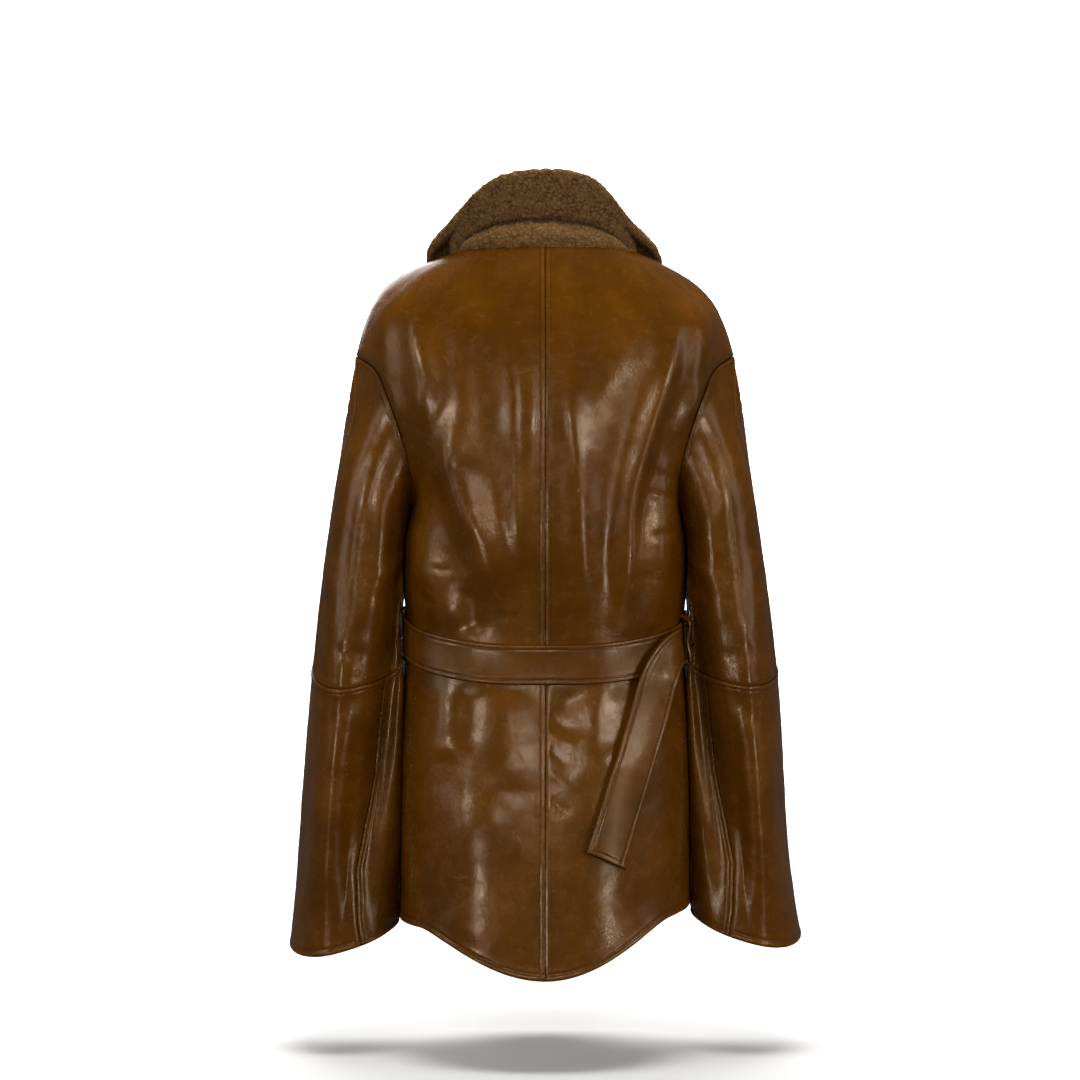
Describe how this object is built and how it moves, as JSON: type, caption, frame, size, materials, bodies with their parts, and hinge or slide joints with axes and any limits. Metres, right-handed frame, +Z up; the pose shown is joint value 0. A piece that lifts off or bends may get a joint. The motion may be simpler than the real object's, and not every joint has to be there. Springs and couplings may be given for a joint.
{
  "type": "belted leather shearling coat",
  "caption": "Hip-length leather coat with wide sleeves, a stand-up fleece collar and a tied self belt, hollow and filled out as worn.",
  "frame": {"origin": "in the middle of the neck, at the level where the wearer's shoulders carry the coat", "axes": "+Z up, -Y towards the front of the wearer, +X towards the wearer's left"},
  "size_m": [0.561, 0.313, 0.8524],
  "materials": {
    "hide_leather": "glossy cognac-brown aniline leather, waxed, with fine creases and short pile inside",
    "belt_leather": "cognac-brown leather with stitched edges",
    "curly_fleece": "curly sheepskin pile, warm brown, matt"
  },
  "bodies": {
    "root": {"back_left": "hide_leather", "back_right": "hide_leather", "front_left": "hide_leather", "front_right": "hide_leather", "sleeve_upper_back_left": "hide_leather", "sleeve_upper_front_left": "hide_leather", "sleeve_lower_outer_left": "hide_leather", "sleeve_lower_inner_left": "hide_leather", "sleeve_upper_back_right": "hide_leather", "sleeve_upper_front_right": "hide_leather", "sleeve_lower_outer_right": "hide_leather", "sleeve_lower_inner_right": "hide_leather", "collar_leaf": "curly_fleece", "collar_stand": "curly_fleece", "belt": "belt_leather", "belt_end": "belt_leather", "belt_loop_left": "belt_leather", "belt_loop_right": "belt_leather"}
  },
  "joints": []
}
